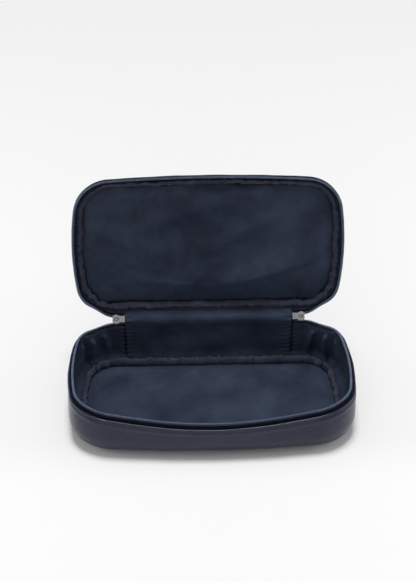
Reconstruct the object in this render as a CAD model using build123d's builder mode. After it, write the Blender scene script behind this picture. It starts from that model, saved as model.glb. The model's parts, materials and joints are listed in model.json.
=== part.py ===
"""Zip-around leather case, standing open on its flat underside.

Millimetres. +X runs along the length, -Y is the front, +Z is up, and the origin is the centre of the
underside. The base and the lid are two trays that meet at the zip line. Each tray is drawn in its own
frame: the frame's origin lies in the zip plane and its Z axis points into the depth of the tray, so
that one set of functions draws both. A place in a wall's section is given by two lengths: how far it
stands out from the rim outline, and how deep it lies below the zip line.
"""
from collections import namedtuple
from math import atan2, cos, degrees, hypot, radians, sin, sqrt
import os

from build123d import *

# Rim outline, on the outer leather at the zip line
RIM_LENGTH = 230.0
RIM_DEPTH = 131.0
SIDE_RADIUS = 250.0
FRONT_RADIUS = 1400.0
CORNER_RADIUS = 33.0

# The two trays
BASE_DEPTH = 44.0
BASE_BULGE = 2.0
BASE_EDGE_RADIUS = 18.0
LID_DEPTH = 12.0
LID_BULGE = 0.6
LID_EDGE_RADIUS = 16.0
OPEN_ANGLE = 96.0

# Layers, from the outside in
LEATHER = 1.2
INTERLINING = 0.9
LINING = 0.5
JOIN_GAP = 0.05
BOARD = 1.6
BASE_PADDING = 1.6
LID_PADDING = 0.8

# Zip: gauge 5 coil
ZIP_GAP = 0.15
TAPE_EDGE = 0.3
HINGE_LINING_TOP = 2.6
ZIP_REVEAL = 4.5
TAPE = 0.5
TAPE_WIDTH = 13.0
LID_TAPE_WIDTH = 8.5
COIL_WIDTH = 3.0
COIL_THICKNESS = 2.2
SPINE_HALF = 70.5
ZIP_START = 88.5
COIL_ROUND = 0.9
LID_COIL_SHIFT = 0.8
LID_COIL_TILT = 24.0

# Bound seams
BINDING_WIDTH = 2.4
BASE_BINDING_HEIGHT = 5.5
LID_BINDING_HEIGHT = 3.2
BASE_BINDING_INSET = 9.8
LID_BINDING_INSET = 11.3
BINDING_ROUND = 0.9

# Sliders, pulls and end stops
SLIDER_LENGTH = 10.4
SLIDER_WIDTH = 8.0
SLIDER_TAIL_WIDTH = 6.8
SLIDER_WAIST_WIDTH = 5.2
SLIDER_NOSE_WIDTH = 3.4
WAIST_AT = -2.0
SHOULDER_AT = 1.4
CHEEK_AT = 4.2
CHEEK_WIDTH = 6.4
SEAM_GAP = 0.4
SLIDER_PARK = SPINE_HALF + SEAM_GAP + SLIDER_LENGTH / 2
PLATE = 1.0
CHANNEL = 3.1
FLANGE = 0.7
FLANGE_HEIGHT = 2.0
WEDGE_LENGTH = 3.4
WEDGE_WIDTH = 2.2
NOTCH_RADIUS = 0.7
PLATE_TAIL_ROUND = 0.6
FLANGE_LENGTH = 4.4
FLANGE_AT = 1.8
FLANGE_INSET = 0.9
FLANGE_CENTRE = SLIDER_WIDTH / 2 - FLANGE_INSET
WEDGE_CENTRE = 2.6
CROWN_ROUND = 1.0
PULL_ROUND = 1.6
PULL_HOLE_INSET = 2.6
STOP_ROUND = 0.6
STOP_GAP = 0.6
CROWN_LENGTH = 6.6
CROWN_WIDTH = 1.6
CROWN_HEIGHT = 2.9
CROWN_WALL = 0.7
PULL_LENGTH = 24.0
PULL_WIDTH = 4.8
PULL_EYE_WIDTH = 3.0
PULL_EYE_LENGTH = 5.2
PULL_SLOT_WIDTH = 1.8
PULL_SLOT_LENGTH = 3.7
PULL_SHOULDER = 8.4
PULL_THICKNESS = 1.2
PULL_BAR = 1.2
PULL_HOLE_RADIUS = 1.1
PIN_OUT = (CROWN_HEIGHT - CROWN_WALL) / 2
STOP_LENGTH = 8.0
STOP_WIDTH = 2.8
STOP_INSET = 2.1
STOP_THICKNESS = 0.6

HALF_LENGTH = RIM_LENGTH / 2
HALF_DEPTH = RIM_DEPTH / 2
TAPE_INSET = LEATHER
COIL_INSET = TAPE_INSET + TAPE
LINING_INSET = LEATHER + INTERLINING
INNER_INSET = LINING_INSET + LINING

Tray = namedtuple("Tray", "name frame depth bulge edge_radius padding binding_height "
                          "binding_inset tape_width coil_shift coil_tilt")
os.makedirs("parts", exist_ok=True)


def opened(angle):
    """Frame of a tray that lies above the zip line, turned open by an angle about the hinge line."""
    turn = radians(angle)
    origin = (0, HALF_DEPTH * (1 - cos(turn)), BASE_DEPTH + HALF_DEPTH * sin(turn))
    return Plane(origin=origin, x_dir=(1, 0, 0), z_dir=(0, sin(turn), cos(turn)))


BASE = Tray("base", Plane(origin=(0, 0, BASE_DEPTH), x_dir=(-1, 0, 0), z_dir=(0, 0, -1)),
            BASE_DEPTH, BASE_BULGE, BASE_EDGE_RADIUS, BASE_PADDING, BASE_BINDING_HEIGHT,
            BASE_BINDING_INSET, TAPE_WIDTH, 0, 0)
LID = Tray("lid", opened(OPEN_ANGLE),
           LID_DEPTH, LID_BULGE, LID_EDGE_RADIUS, LID_PADDING, LID_BINDING_HEIGHT,
           LID_BINDING_INSET, LID_TAPE_WIDTH, LID_COIL_SHIFT, LID_COIL_TILT)


def save(builder, label):
    """Names a finished piece and writes it."""
    builder.part.label = label
    export_step(builder.part, f"parts/{label}.step")


# Rim outline: side arcs, a front arc and a straight back, joined by tangent corner arcs
SIDE_CENTRE = (HALF_LENGTH - SIDE_RADIUS, 0)
FRONT_CENTRE = (0, FRONT_RADIUS - HALF_DEPTH)


def front_corner_centre():
    """Centre of the arc that touches the right side arc and the front arc from inside."""
    side_reach = SIDE_RADIUS - CORNER_RADIUS
    front_reach = FRONT_RADIUS - CORNER_RADIUS
    dx = FRONT_CENTRE[0] - SIDE_CENTRE[0]
    dy = FRONT_CENTRE[1] - SIDE_CENTRE[1]
    apart = hypot(dx, dy)
    along = (side_reach**2 - front_reach**2 + apart**2) / (2 * apart)
    across = sqrt(side_reach**2 - along**2)
    return (SIDE_CENTRE[0] + (along * dx + across * dy) / apart,
            SIDE_CENTRE[1] + (along * dy - across * dx) / apart)


def back_corner_centre():
    """Centre of the arc that touches the right side arc and the straight back from inside."""
    y = HALF_DEPTH - CORNER_RADIUS
    return (SIDE_CENTRE[0] + sqrt((SIDE_RADIUS - CORNER_RADIUS)**2 - y**2), y)


FRONT_CORNER = front_corner_centre()
BACK_CORNER = back_corner_centre()
FRONT_END = degrees(atan2(FRONT_CORNER[1] - FRONT_CENTRE[1], FRONT_CORNER[0]))
SIDE_START = degrees(atan2(FRONT_CORNER[1], FRONT_CORNER[0] - SIDE_CENTRE[0]))
SIDE_END = degrees(atan2(BACK_CORNER[1], BACK_CORNER[0] - SIDE_CENTRE[0]))


def outline(outset=0.0, gap_half=0.0):
    """The rim outline, moved outwards, with a gap in the middle of its straight back."""
    back = HALF_DEPTH + outset
    corner = CORNER_RADIUS + outset
    Line((gap_half, back), (BACK_CORNER[0], back))
    CenterArc(BACK_CORNER, corner, SIDE_END, 90 - SIDE_END)
    CenterArc(SIDE_CENTRE, SIDE_RADIUS + outset, SIDE_START, SIDE_END - SIDE_START)
    CenterArc(FRONT_CORNER, corner, FRONT_END, SIDE_START - FRONT_END)
    CenterArc(FRONT_CENTRE, FRONT_RADIUS + outset, -90, FRONT_END + 90)
    mirror(about=Plane.YZ)


def section_plane(tray, along):
    """Plane of a wall section on the straight back: X stands out from the rim, Y is the depth."""
    origin = tray.frame.from_local_coords((along, HALF_DEPTH, 0))
    return Plane(origin=origin, x_dir=tray.frame.y_dir, z_dir=tray.frame.x_dir)


def stand_out(tray, inset, depth):
    """How far a layer's face stands out from the rim at a depth: one long arc, then the rounded edge."""
    straight = tray.depth - tray.edge_radius
    drop = depth - straight
    if drop > 0:
        return tray.bulge - tray.edge_radius + sqrt(max(0.0, (tray.edge_radius - inset)**2 - drop**2))
    radius = (straight**2 + tray.bulge**2) / (2 * tray.bulge)
    return tray.bulge - radius + sqrt((radius - inset)**2 - drop**2)


def layer_outline(tray, outer, inner, top, bottom):
    """Outline of one layer of the wall, between two insets, from one depth to another."""
    straight = tray.depth - tray.edge_radius
    ends = []
    for inset in (outer, inner):
        low = min(bottom, tray.depth - inset)
        knots = [top, straight, low] if top < straight < low else [top, low]
        for start, end in zip(knots, knots[1:]):
            depths = (start, (start + end) / 2, end)
            ThreePointArc(*[(stand_out(tray, inset, depth), depth) for depth in depths])
        ends.append((stand_out(tray, inset, low), low))
    Line((stand_out(tray, outer, top), top), (stand_out(tray, inner, top), top))
    Line(*ends)


def wall(tray, outer, inner, top, bottom, start):
    """One layer of the wall all round the outline, except for a gap in the middle of the back."""
    with BuildPart() as piece:
        with BuildLine(tray.frame):
            outline(gap_half=start)
        with BuildSketch(section_plane(tray, start)):
            with BuildLine():
                layer_outline(tray, outer, inner, top, bottom)
            make_face()
        sweep()
    return piece


def back_panel(tray, outer, inner, top, bottom):
    """One layer of the straight back between the ends of the zip."""
    with BuildPart() as piece:
        with BuildSketch(section_plane(tray, -SPINE_HALF)):
            with BuildLine():
                layer_outline(tray, outer, inner, top, bottom)
            make_face()
        extrude(amount=2 * SPINE_HALF)
    return piece


def flat_panel(tray, outset, top, thickness):
    """A flat layer across the tray, from one depth down."""
    with BuildPart() as piece:
        with BuildSketch(tray.frame.offset(top)):
            with BuildLine():
                outline(outset)
            make_face()
        extrude(amount=thickness)
    return piece


def zip_tape(tray):
    """Half of the zip's tape, from the zip line down behind the leather."""
    with BuildPart() as piece:
        with BuildLine(tray.frame):
            outline(gap_half=SPINE_HALF)
        with BuildSketch(section_plane(tray, SPINE_HALF)):
            with BuildLine():
                layer_outline(tray, TAPE_INSET, TAPE_INSET + TAPE, TAPE_EDGE, tray.tape_width)
            make_face()
        sweep()
        with BuildSketch(tray.frame):
            with Locations((0, HALF_DEPTH)):
                Rectangle(2 * ZIP_START, CORNER_RADIUS)
        extrude(amount=ZIP_REVEAL, mode=Mode.SUBTRACT)
    return piece


def zip_coil(tray):
    """Half of the zip's coil, sewn to the inner side of its tape along the zip line.

    The lid's coil stands a little further in and leans with the lid's sloping wall.
    """
    with BuildPart() as piece:
        with BuildLine(tray.frame):
            outline(gap_half=SPINE_HALF)
        with BuildSketch(section_plane(tray, SPINE_HALF)):
            with Locations((-COIL_INSET - COIL_THICKNESS / 2 - tray.coil_shift, ZIP_GAP + COIL_WIDTH / 2)):
                RectangleRounded(COIL_THICKNESS, COIL_WIDTH, COIL_ROUND, rotation=tray.coil_tilt)
        sweep()
        with BuildSketch(tray.frame):
            with Locations((0, HALF_DEPTH)):
                Rectangle(2 * ZIP_START, CORNER_RADIUS)
        extrude(amount=ZIP_REVEAL, mode=Mode.SUBTRACT)
    return piece


def seam_binding(tray, floor):
    """The bound seam that stands on the edge of the panel lining, all round the tray."""
    with BuildPart() as piece:
        with BuildLine(tray.frame):
            outline()
        with BuildSketch(section_plane(tray, 0)):
            with Locations((-tray.binding_inset, floor - tray.binding_height / 2)):
                RectangleRounded(BINDING_WIDTH, tray.binding_height, BINDING_ROUND)
        sweep()
    return piece


def tray_pieces(tray):
    """Makes and writes every piece of one tray."""
    edge = tray.bulge - tray.edge_radius - JOIN_GAP
    floor = tray.depth - LEATHER - BOARD - tray.padding - LINING
    board_top = tray.depth - LEATHER - BOARD
    lining_foot = floor + LINING
    lining_edge = stand_out(tray, INNER_INSET, lining_foot)
    padding_edge = stand_out(tray, LINING_INSET, board_top)
    made = {
        "leather_wall": wall(tray, 0, LEATHER, ZIP_REVEAL, tray.depth, SPINE_HALF),
        "spine_leather": back_panel(tray, 0, LEATHER, ZIP_GAP, tray.depth),
        "leather_panel": flat_panel(tray, edge, tray.depth - LEATHER, LEATHER),
        "board": flat_panel(tray, edge, board_top, BOARD),
        "padding": flat_panel(tray, padding_edge, lining_foot, tray.padding),
        "interlining": wall(tray, LEATHER, LINING_INSET, tray.tape_width + ZIP_GAP, tray.depth, 0),
        "wall_lining": wall(tray, LINING_INSET, INNER_INSET, ZIP_REVEAL, lining_foot, SPINE_HALF),
        "hinge_lining": back_panel(tray, LINING_INSET, INNER_INSET, HINGE_LINING_TOP, lining_foot),
        "panel_lining": flat_panel(tray, lining_edge, floor, LINING),
        "seam_binding": seam_binding(tray, floor),
        "zip_tape": zip_tape(tray),
        "zip_coil": zip_coil(tray),
    }
    for name, builder in made.items():
        save(builder, f"{tray.name}_{name}")


tray_pieces(BASE)
tray_pieces(LID)


# The zip's ends stand halfway between the trays
MIDWAY = opened(OPEN_ANGLE / 2)


def slider_plane(side, inset, along=0.0):
    """Plane of a slider's plates: X points to its open end, Z into the case."""
    origin = MIDWAY.from_local_coords((side * (SLIDER_PARK + along), HALF_DEPTH - inset, 0))
    return Plane(origin=origin, x_dir=side * MIDWAY.x_dir, z_dir=-MIDWAY.y_dir)


def plate_outline():
    """Outline of a slider's plate: flat tail, pinched waist, wide shoulders and a rounded nose."""
    half = SLIDER_LENGTH / 2
    tail = (-half, SLIDER_TAIL_WIDTH / 2)
    shoulder = (SHOULDER_AT, SLIDER_WIDTH / 2)
    nose = (half, SLIDER_NOSE_WIDTH / 2)
    Line((-half, 0), tail)
    ThreePointArc(tail, (WAIST_AT, SLIDER_WAIST_WIDTH / 2), shoulder)
    ThreePointArc(shoulder, (CHEEK_AT, CHEEK_WIDTH / 2), nose)
    Line(nose, (half, 0))
    mirror(about=Plane.XZ)


def slider_body(side):
    """Two plates joined by a wedge, with flanges on the inner plate that hold the coils."""
    inner = PLATE + CHANNEL
    with BuildPart() as piece:
        for inset in (0, inner):
            with BuildSketch(slider_plane(side, inset)) as plate:
                with BuildLine():
                    plate_outline()
                make_face()
                fillet(plate.vertices().group_by(Axis.X)[0], PLATE_TAIL_ROUND)
                with Locations((SLIDER_LENGTH / 2, 0)):
                    Circle(NOTCH_RADIUS, mode=Mode.SUBTRACT)
            extrude(amount=PLATE)
        with BuildSketch(slider_plane(side, inner - FLANGE_HEIGHT)):
            with Locations((FLANGE_AT, FLANGE_CENTRE), (FLANGE_AT, -FLANGE_CENTRE)):
                Rectangle(FLANGE_LENGTH, FLANGE)
        extrude(amount=FLANGE_HEIGHT)
        with BuildSketch(slider_plane(side, PLATE, WEDGE_CENTRE)):
            Ellipse(WEDGE_LENGTH / 2, WEDGE_WIDTH / 2)
        extrude(amount=CHANNEL)
    return piece


def slider_crown(side):
    """The arch on the slider's outer plate that the pull's bar passes through."""
    inner_height = CROWN_HEIGHT - CROWN_WALL
    origin = MIDWAY.from_local_coords((side * SLIDER_PARK, HALF_DEPTH, 0))
    with BuildPart() as piece:
        with BuildSketch(Plane(origin=origin, x_dir=MIDWAY.x_dir, z_dir=MIDWAY.z_dir)) as arch:
            with Locations((0, CROWN_HEIGHT / 2)):
                Rectangle(CROWN_LENGTH, CROWN_HEIGHT)
            fillet(arch.vertices().group_by(Axis.Y)[-1], CROWN_ROUND)
            with Locations((0, inner_height / 2)):
                Rectangle(CROWN_LENGTH - 2 * CROWN_WALL, inner_height, mode=Mode.SUBTRACT)
        extrude(amount=CROWN_WIDTH / 2, both=True)
    return piece


def pull_tab(side):
    """The pull, which hangs from the crown by the bar across its eye."""
    origin = MIDWAY.from_local_coords((side * SLIDER_PARK, HALF_DEPTH + PIN_OUT, 0))
    bar = PULL_BAR / 2
    eye = PULL_EYE_WIDTH / 2
    tab = PULL_WIDTH / 2
    corners = [(-bar, -eye), (PULL_EYE_LENGTH, -eye), (PULL_SHOULDER, -tab), (PULL_LENGTH, -tab),
               (PULL_LENGTH, tab), (PULL_SHOULDER, tab), (PULL_EYE_LENGTH, eye), (-bar, eye)]
    with BuildPart() as piece:
        with BuildSketch(Plane(origin=origin, x_dir=MIDWAY.y_dir, z_dir=MIDWAY.x_dir)) as plan:
            with BuildLine():
                Polyline(corners, close=True)
            make_face()
            fillet(plan.vertices().group_by(Axis.X)[-1], PULL_ROUND)
            with Locations((bar + PULL_SLOT_LENGTH / 2, 0)):
                Rectangle(PULL_SLOT_LENGTH, PULL_SLOT_WIDTH, mode=Mode.SUBTRACT)
            with Locations((PULL_LENGTH - PULL_HOLE_INSET, 0)):
                Circle(PULL_HOLE_RADIUS, mode=Mode.SUBTRACT)
        extrude(amount=PULL_THICKNESS / 2, both=True)
    return piece


def zip_stop(side):
    """The closed end of the zip, tucked between the spine leather and the hinge lining."""
    along = -SLIDER_LENGTH / 2 - STOP_GAP - STOP_LENGTH / 2
    with BuildPart() as piece:
        with BuildSketch(slider_plane(side, STOP_INSET, along)):
            RectangleRounded(STOP_LENGTH, STOP_WIDTH, STOP_ROUND)
        extrude(amount=STOP_THICKNESS)
    return piece


for side_name, side in (("left", -1), ("right", 1)):
    save(slider_body(side), f"slider_body_{side_name}")
    save(slider_crown(side), f"slider_crown_{side_name}")
    save(pull_tab(side), f"pull_tab_{side_name}")
    save(zip_stop(side), f"zip_stop_{side_name}")
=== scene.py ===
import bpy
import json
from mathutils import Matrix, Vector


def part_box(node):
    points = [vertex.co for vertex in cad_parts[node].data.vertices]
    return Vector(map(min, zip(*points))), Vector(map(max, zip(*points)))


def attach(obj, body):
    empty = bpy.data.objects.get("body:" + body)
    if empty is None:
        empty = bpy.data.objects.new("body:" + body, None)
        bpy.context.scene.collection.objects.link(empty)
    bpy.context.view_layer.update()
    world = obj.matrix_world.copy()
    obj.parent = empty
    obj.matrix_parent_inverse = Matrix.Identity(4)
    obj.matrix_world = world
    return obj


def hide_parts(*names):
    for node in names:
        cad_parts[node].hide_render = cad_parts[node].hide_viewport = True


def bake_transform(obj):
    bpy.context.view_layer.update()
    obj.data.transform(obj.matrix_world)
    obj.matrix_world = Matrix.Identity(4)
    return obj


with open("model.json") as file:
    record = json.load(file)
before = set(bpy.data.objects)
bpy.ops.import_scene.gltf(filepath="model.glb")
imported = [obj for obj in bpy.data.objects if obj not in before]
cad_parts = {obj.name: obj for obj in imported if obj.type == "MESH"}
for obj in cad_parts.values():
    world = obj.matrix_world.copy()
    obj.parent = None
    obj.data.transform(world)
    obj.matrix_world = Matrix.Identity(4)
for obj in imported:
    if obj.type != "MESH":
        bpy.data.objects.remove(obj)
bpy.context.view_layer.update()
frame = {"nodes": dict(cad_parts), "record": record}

# Looks of the zip-around leather case: leather shells, twill lining, bound seams, coils and metal sliders.
#
# Lengths are millimetres; a mesh is scaled to metres when it is made. The base and the lid are two trays
# that meet at the zip line. A place on a tray's wall is given by how far round the rim it is (from the
# middle of the back, towards +X), how far it stands out from the rim, and how deep below the zip line.
from collections import namedtuple
import json
import math

import bmesh
import bpy
from mathutils import Vector
from mathutils.geometry import delaunay_2d_cdt
import numpy as np

MM = 0.001
pi = math.pi

# The frame gives the hinge line, the opening angle and the rim
lid_hinge = next(j for j in frame["record"]["behaviour"]["joints"] if j["name"] == "lid_hinge")
HALF_DEPTH = lid_hinge["pos_m"][1] / MM
BASE_DEPTH = lid_hinge["pos_m"][2] / MM
OPEN = math.radians(-lid_hinge["range_deg"][0])
COIL_INSET = 1.7
HALF_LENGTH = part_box("base_zip_coil")[1][0] / MM + COIL_INSET

# Rim outline, as the CAD part draws it
SIDE_RADIUS = 250.0
FRONT_RADIUS = 1400.0
CORNER_RADIUS = 33.0

# Zip; depths are from the zip line, insets from the rim. Stitches are (length, width, height)
PITCH = 1.5
WIRE = 0.66
COIL_WIDTH = 3.0
COIL_THICKNESS = 2.2
COIL_MIDDLE = 1.65
ZIP_REVEAL = 4.5
TAPE_INSET = 1.2
TAPE_TOP = 1.9
TAPE = 0.5
CORD_RADIUS = 0.55
COIL_STITCH = (1.45, 0.42, 0.34)
SPINE_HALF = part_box("base_hinge_lining")[1][0] / MM
COIL_START = SPINE_HALF + 1.5

# The unzipped rim's soft front bows out and sags
SAG_SPAN = 0.97
SAG_POWER = 1.5

# The fold pulls the two back corners a little straighter
CORNER_PULL = 3.6
CORNER_PULL_AT = 96.0
CORNER_PULL_WIDTH = 9.0

# What differs between the two trays. bow and sag move the front edge, and fade below the depth stiff; hem is
# how far the leather's top hem stands proud; ridge_ values are the bound seam's.
Tray = namedtuple("Tray", "name depth bulge edge_radius hem bow sag stiff tape_width coil_shift coil_tilt "
                          "lining_top floor ridge_height ridge_width ridge_inset ridge_lean")
BASE = Tray(name="base", depth=BASE_DEPTH, bulge=2.0, edge_radius=18.0, hem=0.35,
            bow=4.8, sag=10.0, stiff=8.0, tape_width=13.0, coil_shift=0.0, coil_tilt=0.0,
            lining_top=6.2, floor=39.1, ridge_height=7.0, ridge_width=4.6, ridge_inset=10.9, ridge_lean=0.10)
LID = Tray(name="lid", depth=12.0, bulge=0.6, edge_radius=16.0, hem=0.05,
           bow=3.6, sag=-7.5, stiff=3.5, tape_width=8.5, coil_shift=0.35, coil_tilt=math.radians(9),
           lining_top=4.4, floor=7.9, ridge_height=4.6, ridge_width=4.0, ridge_inset=9.4, ridge_lean=0.45)


# ---- shape of the trays
def smooth(t):
    """0 to 1 as t goes from 0 to 1, level at both ends."""
    t = np.clip(t, 0, 1)
    return t * t * (3 - 2 * t)


def bell(x, width):
    """1 where x is 0, and 0.37 at a width from there."""
    return np.exp(-(x / width)**2)


def blunt(x, power):
    """x from -1 to 1 raised to a power, with its sign kept."""
    return np.sign(x) * np.abs(x)**power


def corner_centres():
    """Centres of the right front and right back corner arcs, which touch their neighbours from inside."""
    side = (HALF_LENGTH - SIDE_RADIUS, 0.0)
    front = (0.0, FRONT_RADIUS - HALF_DEPTH)
    side_reach = SIDE_RADIUS - CORNER_RADIUS
    front_reach = FRONT_RADIUS - CORNER_RADIUS
    dx, dy = front[0] - side[0], front[1] - side[1]
    apart = math.hypot(dx, dy)
    along = (side_reach**2 - front_reach**2 + apart**2) / (2 * apart)
    across = math.sqrt(side_reach**2 - along**2)
    front_corner = (side[0] + (along * dx + across * dy) / apart,
                    side[1] + (along * dy - across * dx) / apart)
    y = HALF_DEPTH - CORNER_RADIUS
    back_corner = (side[0] + math.sqrt(side_reach**2 - y**2), y)
    return side, front, front_corner, back_corner


SIDE_CENTRE, FRONT_CENTRE, FRONT_CORNER, BACK_CORNER = corner_centres()
FRONT_END = math.atan2(FRONT_CORNER[1] - FRONT_CENTRE[1], FRONT_CORNER[0])
SIDE_START = math.atan2(FRONT_CORNER[1], FRONT_CORNER[0] - SIDE_CENTRE[0])
SIDE_END = math.atan2(BACK_CORNER[1], BACK_CORNER[0] - SIDE_CENTRE[0])
# Centre, radius, first and last angle of each arc, from the middle of the back round to the front's middle
ARCS = [(BACK_CORNER, CORNER_RADIUS, pi / 2, SIDE_END),
        (SIDE_CENTRE, SIDE_RADIUS, SIDE_END, SIDE_START),
        (FRONT_CORNER, CORNER_RADIUS, SIDE_START, FRONT_END),
        (FRONT_CENTRE, FRONT_RADIUS, FRONT_END, -pi / 2)]
STRAIGHT = BACK_CORNER[0]
HALF_ROUND = STRAIGHT + sum(radius * abs(last - first) for _, radius, first, last in ARCS)
ROUND = 2 * HALF_ROUND
BACK_CORNER_MIDDLE = STRAIGHT + CORNER_RADIUS * (pi / 2 - SIDE_END) / 2


def rim(s):
    """Points of the rim outline and its outward directions, at distances s round it."""
    s = np.asarray(s, float) % ROUND
    left = s > HALF_ROUND
    s = np.where(left, ROUND - s, s)
    point = np.stack([s, np.full_like(s, HALF_DEPTH)], -1)
    normal = np.stack([np.zeros_like(s), np.ones_like(s)], -1)
    start = STRAIGHT
    for centre, radius, first, last in ARCS:
        length = radius * abs(last - first)
        angle = first + (last - first) * np.clip((s - start) / length, 0, 1)
        direction = np.stack([np.cos(angle), np.sin(angle)], -1)
        on = (s >= start)[..., None]
        point = np.where(on, np.array(centre) + radius * direction, point)
        normal = np.where(on, direction, normal)
        start += length
    flip = np.where(left, -1.0, 1.0)[..., None] * np.array([1.0, 0.0]) + np.array([0.0, 1.0])
    return point * flip, normal * flip


def stand_out(tray, inset, depth):
    """How far a layer stands out from the rim at a depth: one long arc, then the rounded edge."""
    straight = tray.depth - tray.edge_radius
    drop = depth - straight
    radius = (straight**2 + tray.bulge**2) / (2 * tray.bulge)
    side = tray.bulge - radius + np.sqrt((radius - inset)**2 - np.minimum(drop, 0)**2)
    under = np.maximum((tray.edge_radius - inset)**2 - np.maximum(drop, 0)**2, 0)
    edge = tray.bulge - tray.edge_radius + np.sqrt(under)
    return np.where(drop > 0, edge, side)


def settled(tray, x, y, depth):
    """The front's bow and sag and the back corners' pull, whole at the zip and fading towards the panel."""
    across = (1 - np.clip(np.abs(x) / (SAG_SPAN * HALF_LENGTH), 0, 1)**2)**SAG_POWER
    held = 1 - np.clip((depth - tray.stiff) / (tray.depth - tray.stiff), 0, 1)
    share = across * smooth(-y / HALF_DEPTH) * held
    corner = bell(np.abs(x) - CORNER_PULL_AT, CORNER_PULL_WIDTH) * smooth(y / HALF_DEPTH * 2.5 - 0.75)
    return x, y - tray.bow * share - CORNER_PULL * corner * held, depth + tray.sag * share


def place(tray, x, y, depth):
    """Row-frame points, in millimetres, of a tray's own x, y and depth."""
    if tray is BASE:
        return np.stack(np.broadcast_arrays(x, y, BASE_DEPTH - depth), -1)
    reach = HALF_DEPTH - y
    return np.stack(np.broadcast_arrays(x, HALF_DEPTH - reach * math.cos(OPEN) + depth * math.sin(OPEN),
                                        BASE_DEPTH + reach * math.sin(OPEN) + depth * math.cos(OPEN)), -1)


def on_wall(tray, s, stand, depth):
    """Row-frame points at a distance round the rim, a stand-out and a depth."""
    s, stand, depth = np.broadcast_arrays(np.asarray(s, float), stand, depth)
    point, normal = rim(s)
    spot = point + normal * stand[..., None]
    return place(tray, *settled(tray, spot[..., 0], spot[..., 1], depth))


def level_ring(tray, s, stand, depth, share=1.0):
    """Row-frame points of a level ring that follows the rim, drawn in towards the middle by a share."""
    point, normal = rim(s)
    spot = (point + normal * stand) * share
    return place(tray, spot[:, 0], spot[:, 1], depth)


def round_edge(tray, radius, first, last, count):
    """Stand-outs and depths round a tray's bottom edge, between two angles."""
    edge, straight = tray.bulge - tray.edge_radius, tray.depth - tray.edge_radius
    angles = np.linspace(first, last, count)
    return [(edge + radius * math.cos(a), straight + radius * math.sin(a)) for a in angles]


def on_back(tray, stand, depth):
    """A row-frame point over the middle of the straight back."""
    return place(tray, 0.0, HALF_DEPTH + stand, depth)


def ripple(a, b, seed, waves=6, spread=1.6):
    """A smooth irregular field of about -1 to 1 over two coordinates given in wavelengths."""
    random = np.random.default_rng(seed)
    total = 0.0
    for _ in range(waves):
        turn = random.uniform(0, 2 * pi)
        stretch = spread ** random.uniform(-1, 1)
        phase = random.uniform(0, 2 * pi)
        total = total + np.sin(2 * pi * stretch * (a * math.cos(turn) + b * math.sin(turn)) + phase)
    return total / waves**0.5 / 1.4


# ---- meshes
def assign(thing, **values):
    """Sets several properties of one thing."""
    for key, value in values.items():
        setattr(thing, key, value)


def new_object(name, data):
    """An object in the scene that shows a mesh, a light or a camera."""
    thing = bpy.data.objects.new(name, data)
    bpy.context.scene.collection.objects.link(thing)
    return thing


def new_mesh(name, points, faces):
    """A mesh from points in metres."""
    mesh = bpy.data.meshes.new(name)
    mesh.from_pydata(points, [], faces)
    return mesh


def flat_square(name, half):
    """A level square mesh round the origin, half is half its side in metres."""
    corners = [(-half, -half, 0), (half, -half, 0), (half, half, 0), (-half, half, 0)]
    return new_mesh(name, corners, [(0, 1, 2, 3)])


def recalculated(mesh, merge=None):
    """Turns all faces of a mesh outwards, after merging points nearer than merge, in metres."""
    shape = bmesh.new()
    shape.from_mesh(mesh)
    if merge:
        bmesh.ops.remove_doubles(shape, verts=shape.verts, dist=merge)
    bmesh.ops.recalc_face_normals(shape, faces=shape.faces)
    shape.to_mesh(mesh)
    shape.free()


def make(name, points, faces, uvs, body, finish, shut=False):
    """A smooth-shaded mesh from points in millimetres, riding on a body. shut is true for a closed form."""
    mesh = new_mesh(name, (np.asarray(points).reshape(-1, 3) * MM).tolist(), faces)
    layer = mesh.uv_layers.new(name="cut")
    layer.data.foreach_set("uv", np.asarray(uvs, float).ravel() * MM)
    mesh.polygons.foreach_set("use_smooth", [True] * len(mesh.polygons))
    if shut:
        recalculated(mesh)
    mesh.materials.append(finish)
    piece = new_object(name, mesh)
    if body:
        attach(piece, body)
    return piece


def grid_quads(n, m, ring=False, loop=False):
    """Rows, columns and quads of a grid of n by m points; ring joins the last row to the first, and loop the
    last column."""
    i, j = np.meshgrid(np.arange(n if ring else n - 1), np.arange(m if loop else m - 1), indexing="ij")
    after_i, after_j = (i + 1) % n, (j + 1) % m
    quads = np.stack([i * m + j, after_i * m + j, after_i * m + after_j, i * m + after_j], -1)
    return i, j, quads.reshape(-1, 4).tolist()


def capped(grid):
    """Faces through grid[i, j], with i closed and a cap at either end of j, and their corners' points."""
    n, m = grid.shape[:2]
    _, _, faces = grid_quads(n, m, ring=True)
    faces += [[k * m + m - 1 for k in range(n)], [k * m for k in reversed(range(n))]]
    return faces, grid.reshape(-1, 3)[np.concatenate([np.array(face) for face in faces])]


def strip(name, points, along, across, body, finish, ring=False, loop=False):
    """A grid of quads through points[i, j]; ring joins the last i to the first, and loop the last j.
    The UVs are the lengths along[i] and across[j], each with one value more where it closes."""
    n, m = points.shape[:2]
    i, j, faces = grid_quads(n, m, ring, loop)
    u = np.stack([along[i], along[i + 1], along[i + 1], along[i]], -1)
    v = np.stack([across[j], across[j], across[j + 1], across[j + 1]], -1)
    uvs = np.stack([u, v], -1).reshape(-1, 2)
    if loop and not ring:
        for row in (0, n - 1):
            faces.append([row * m + k for k in range(m)])
            uvs = np.concatenate([uvs, np.stack([np.full(m, along[row]), across[:m]], -1)])
    return make(name, points, faces, uvs, body, finish, shut=loop)


def run_length(row):
    """Distances along a row of points, from its first."""
    return np.concatenate([[0], np.cumsum(np.linalg.norm(np.diff(row, axis=0), axis=1))])


def lengths(points):
    """Distances along the middle row of a grid's second direction."""
    return run_length(points[len(points) // 2])


def closed_length(row):
    """Distances along a row of points that comes back to its first."""
    return run_length(np.vstack([row, row[:1]]))


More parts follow.
